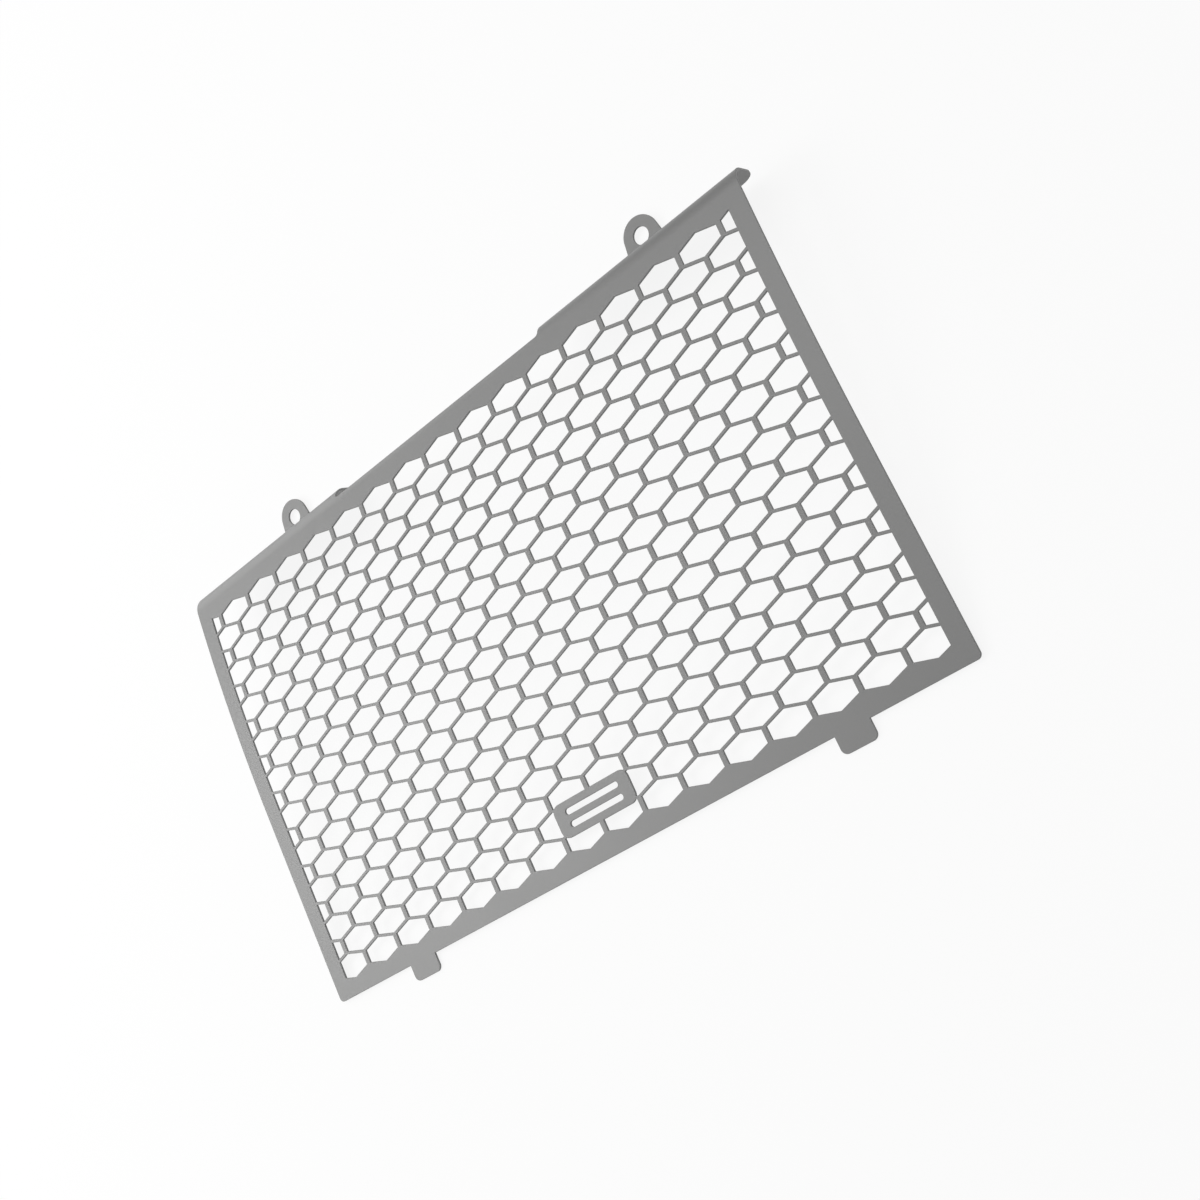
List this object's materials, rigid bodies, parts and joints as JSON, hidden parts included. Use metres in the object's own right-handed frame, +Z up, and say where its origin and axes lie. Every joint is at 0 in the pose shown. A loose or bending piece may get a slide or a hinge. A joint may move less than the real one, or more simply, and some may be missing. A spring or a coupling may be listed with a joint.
{
  "type": "motorcycle radiator guard",
  "caption": "Radiator guard for a motorcycle: a folded metal sheet with a honeycomb mesh, folded wings with bolt ears along the top edge and tabs along the lower edge.",
  "frame": {"origin": "middle of the guard's footprint, on the surface it rests on", "axes": "+X runs along the guard's width, +Y from its lower tabs to its ears, +Z up, out of the front of the face, because the guard lies face up"},
  "size_m": [0.3206, 0.2228, 0.024],
  "materials": {
    "sheet_metal": "satin mid-grey coat, even over the whole sheet and its cut edges"
  },
  "bodies": {
    "root": {"radiator_guard": "sheet_metal"}
  },
  "joints": []
}
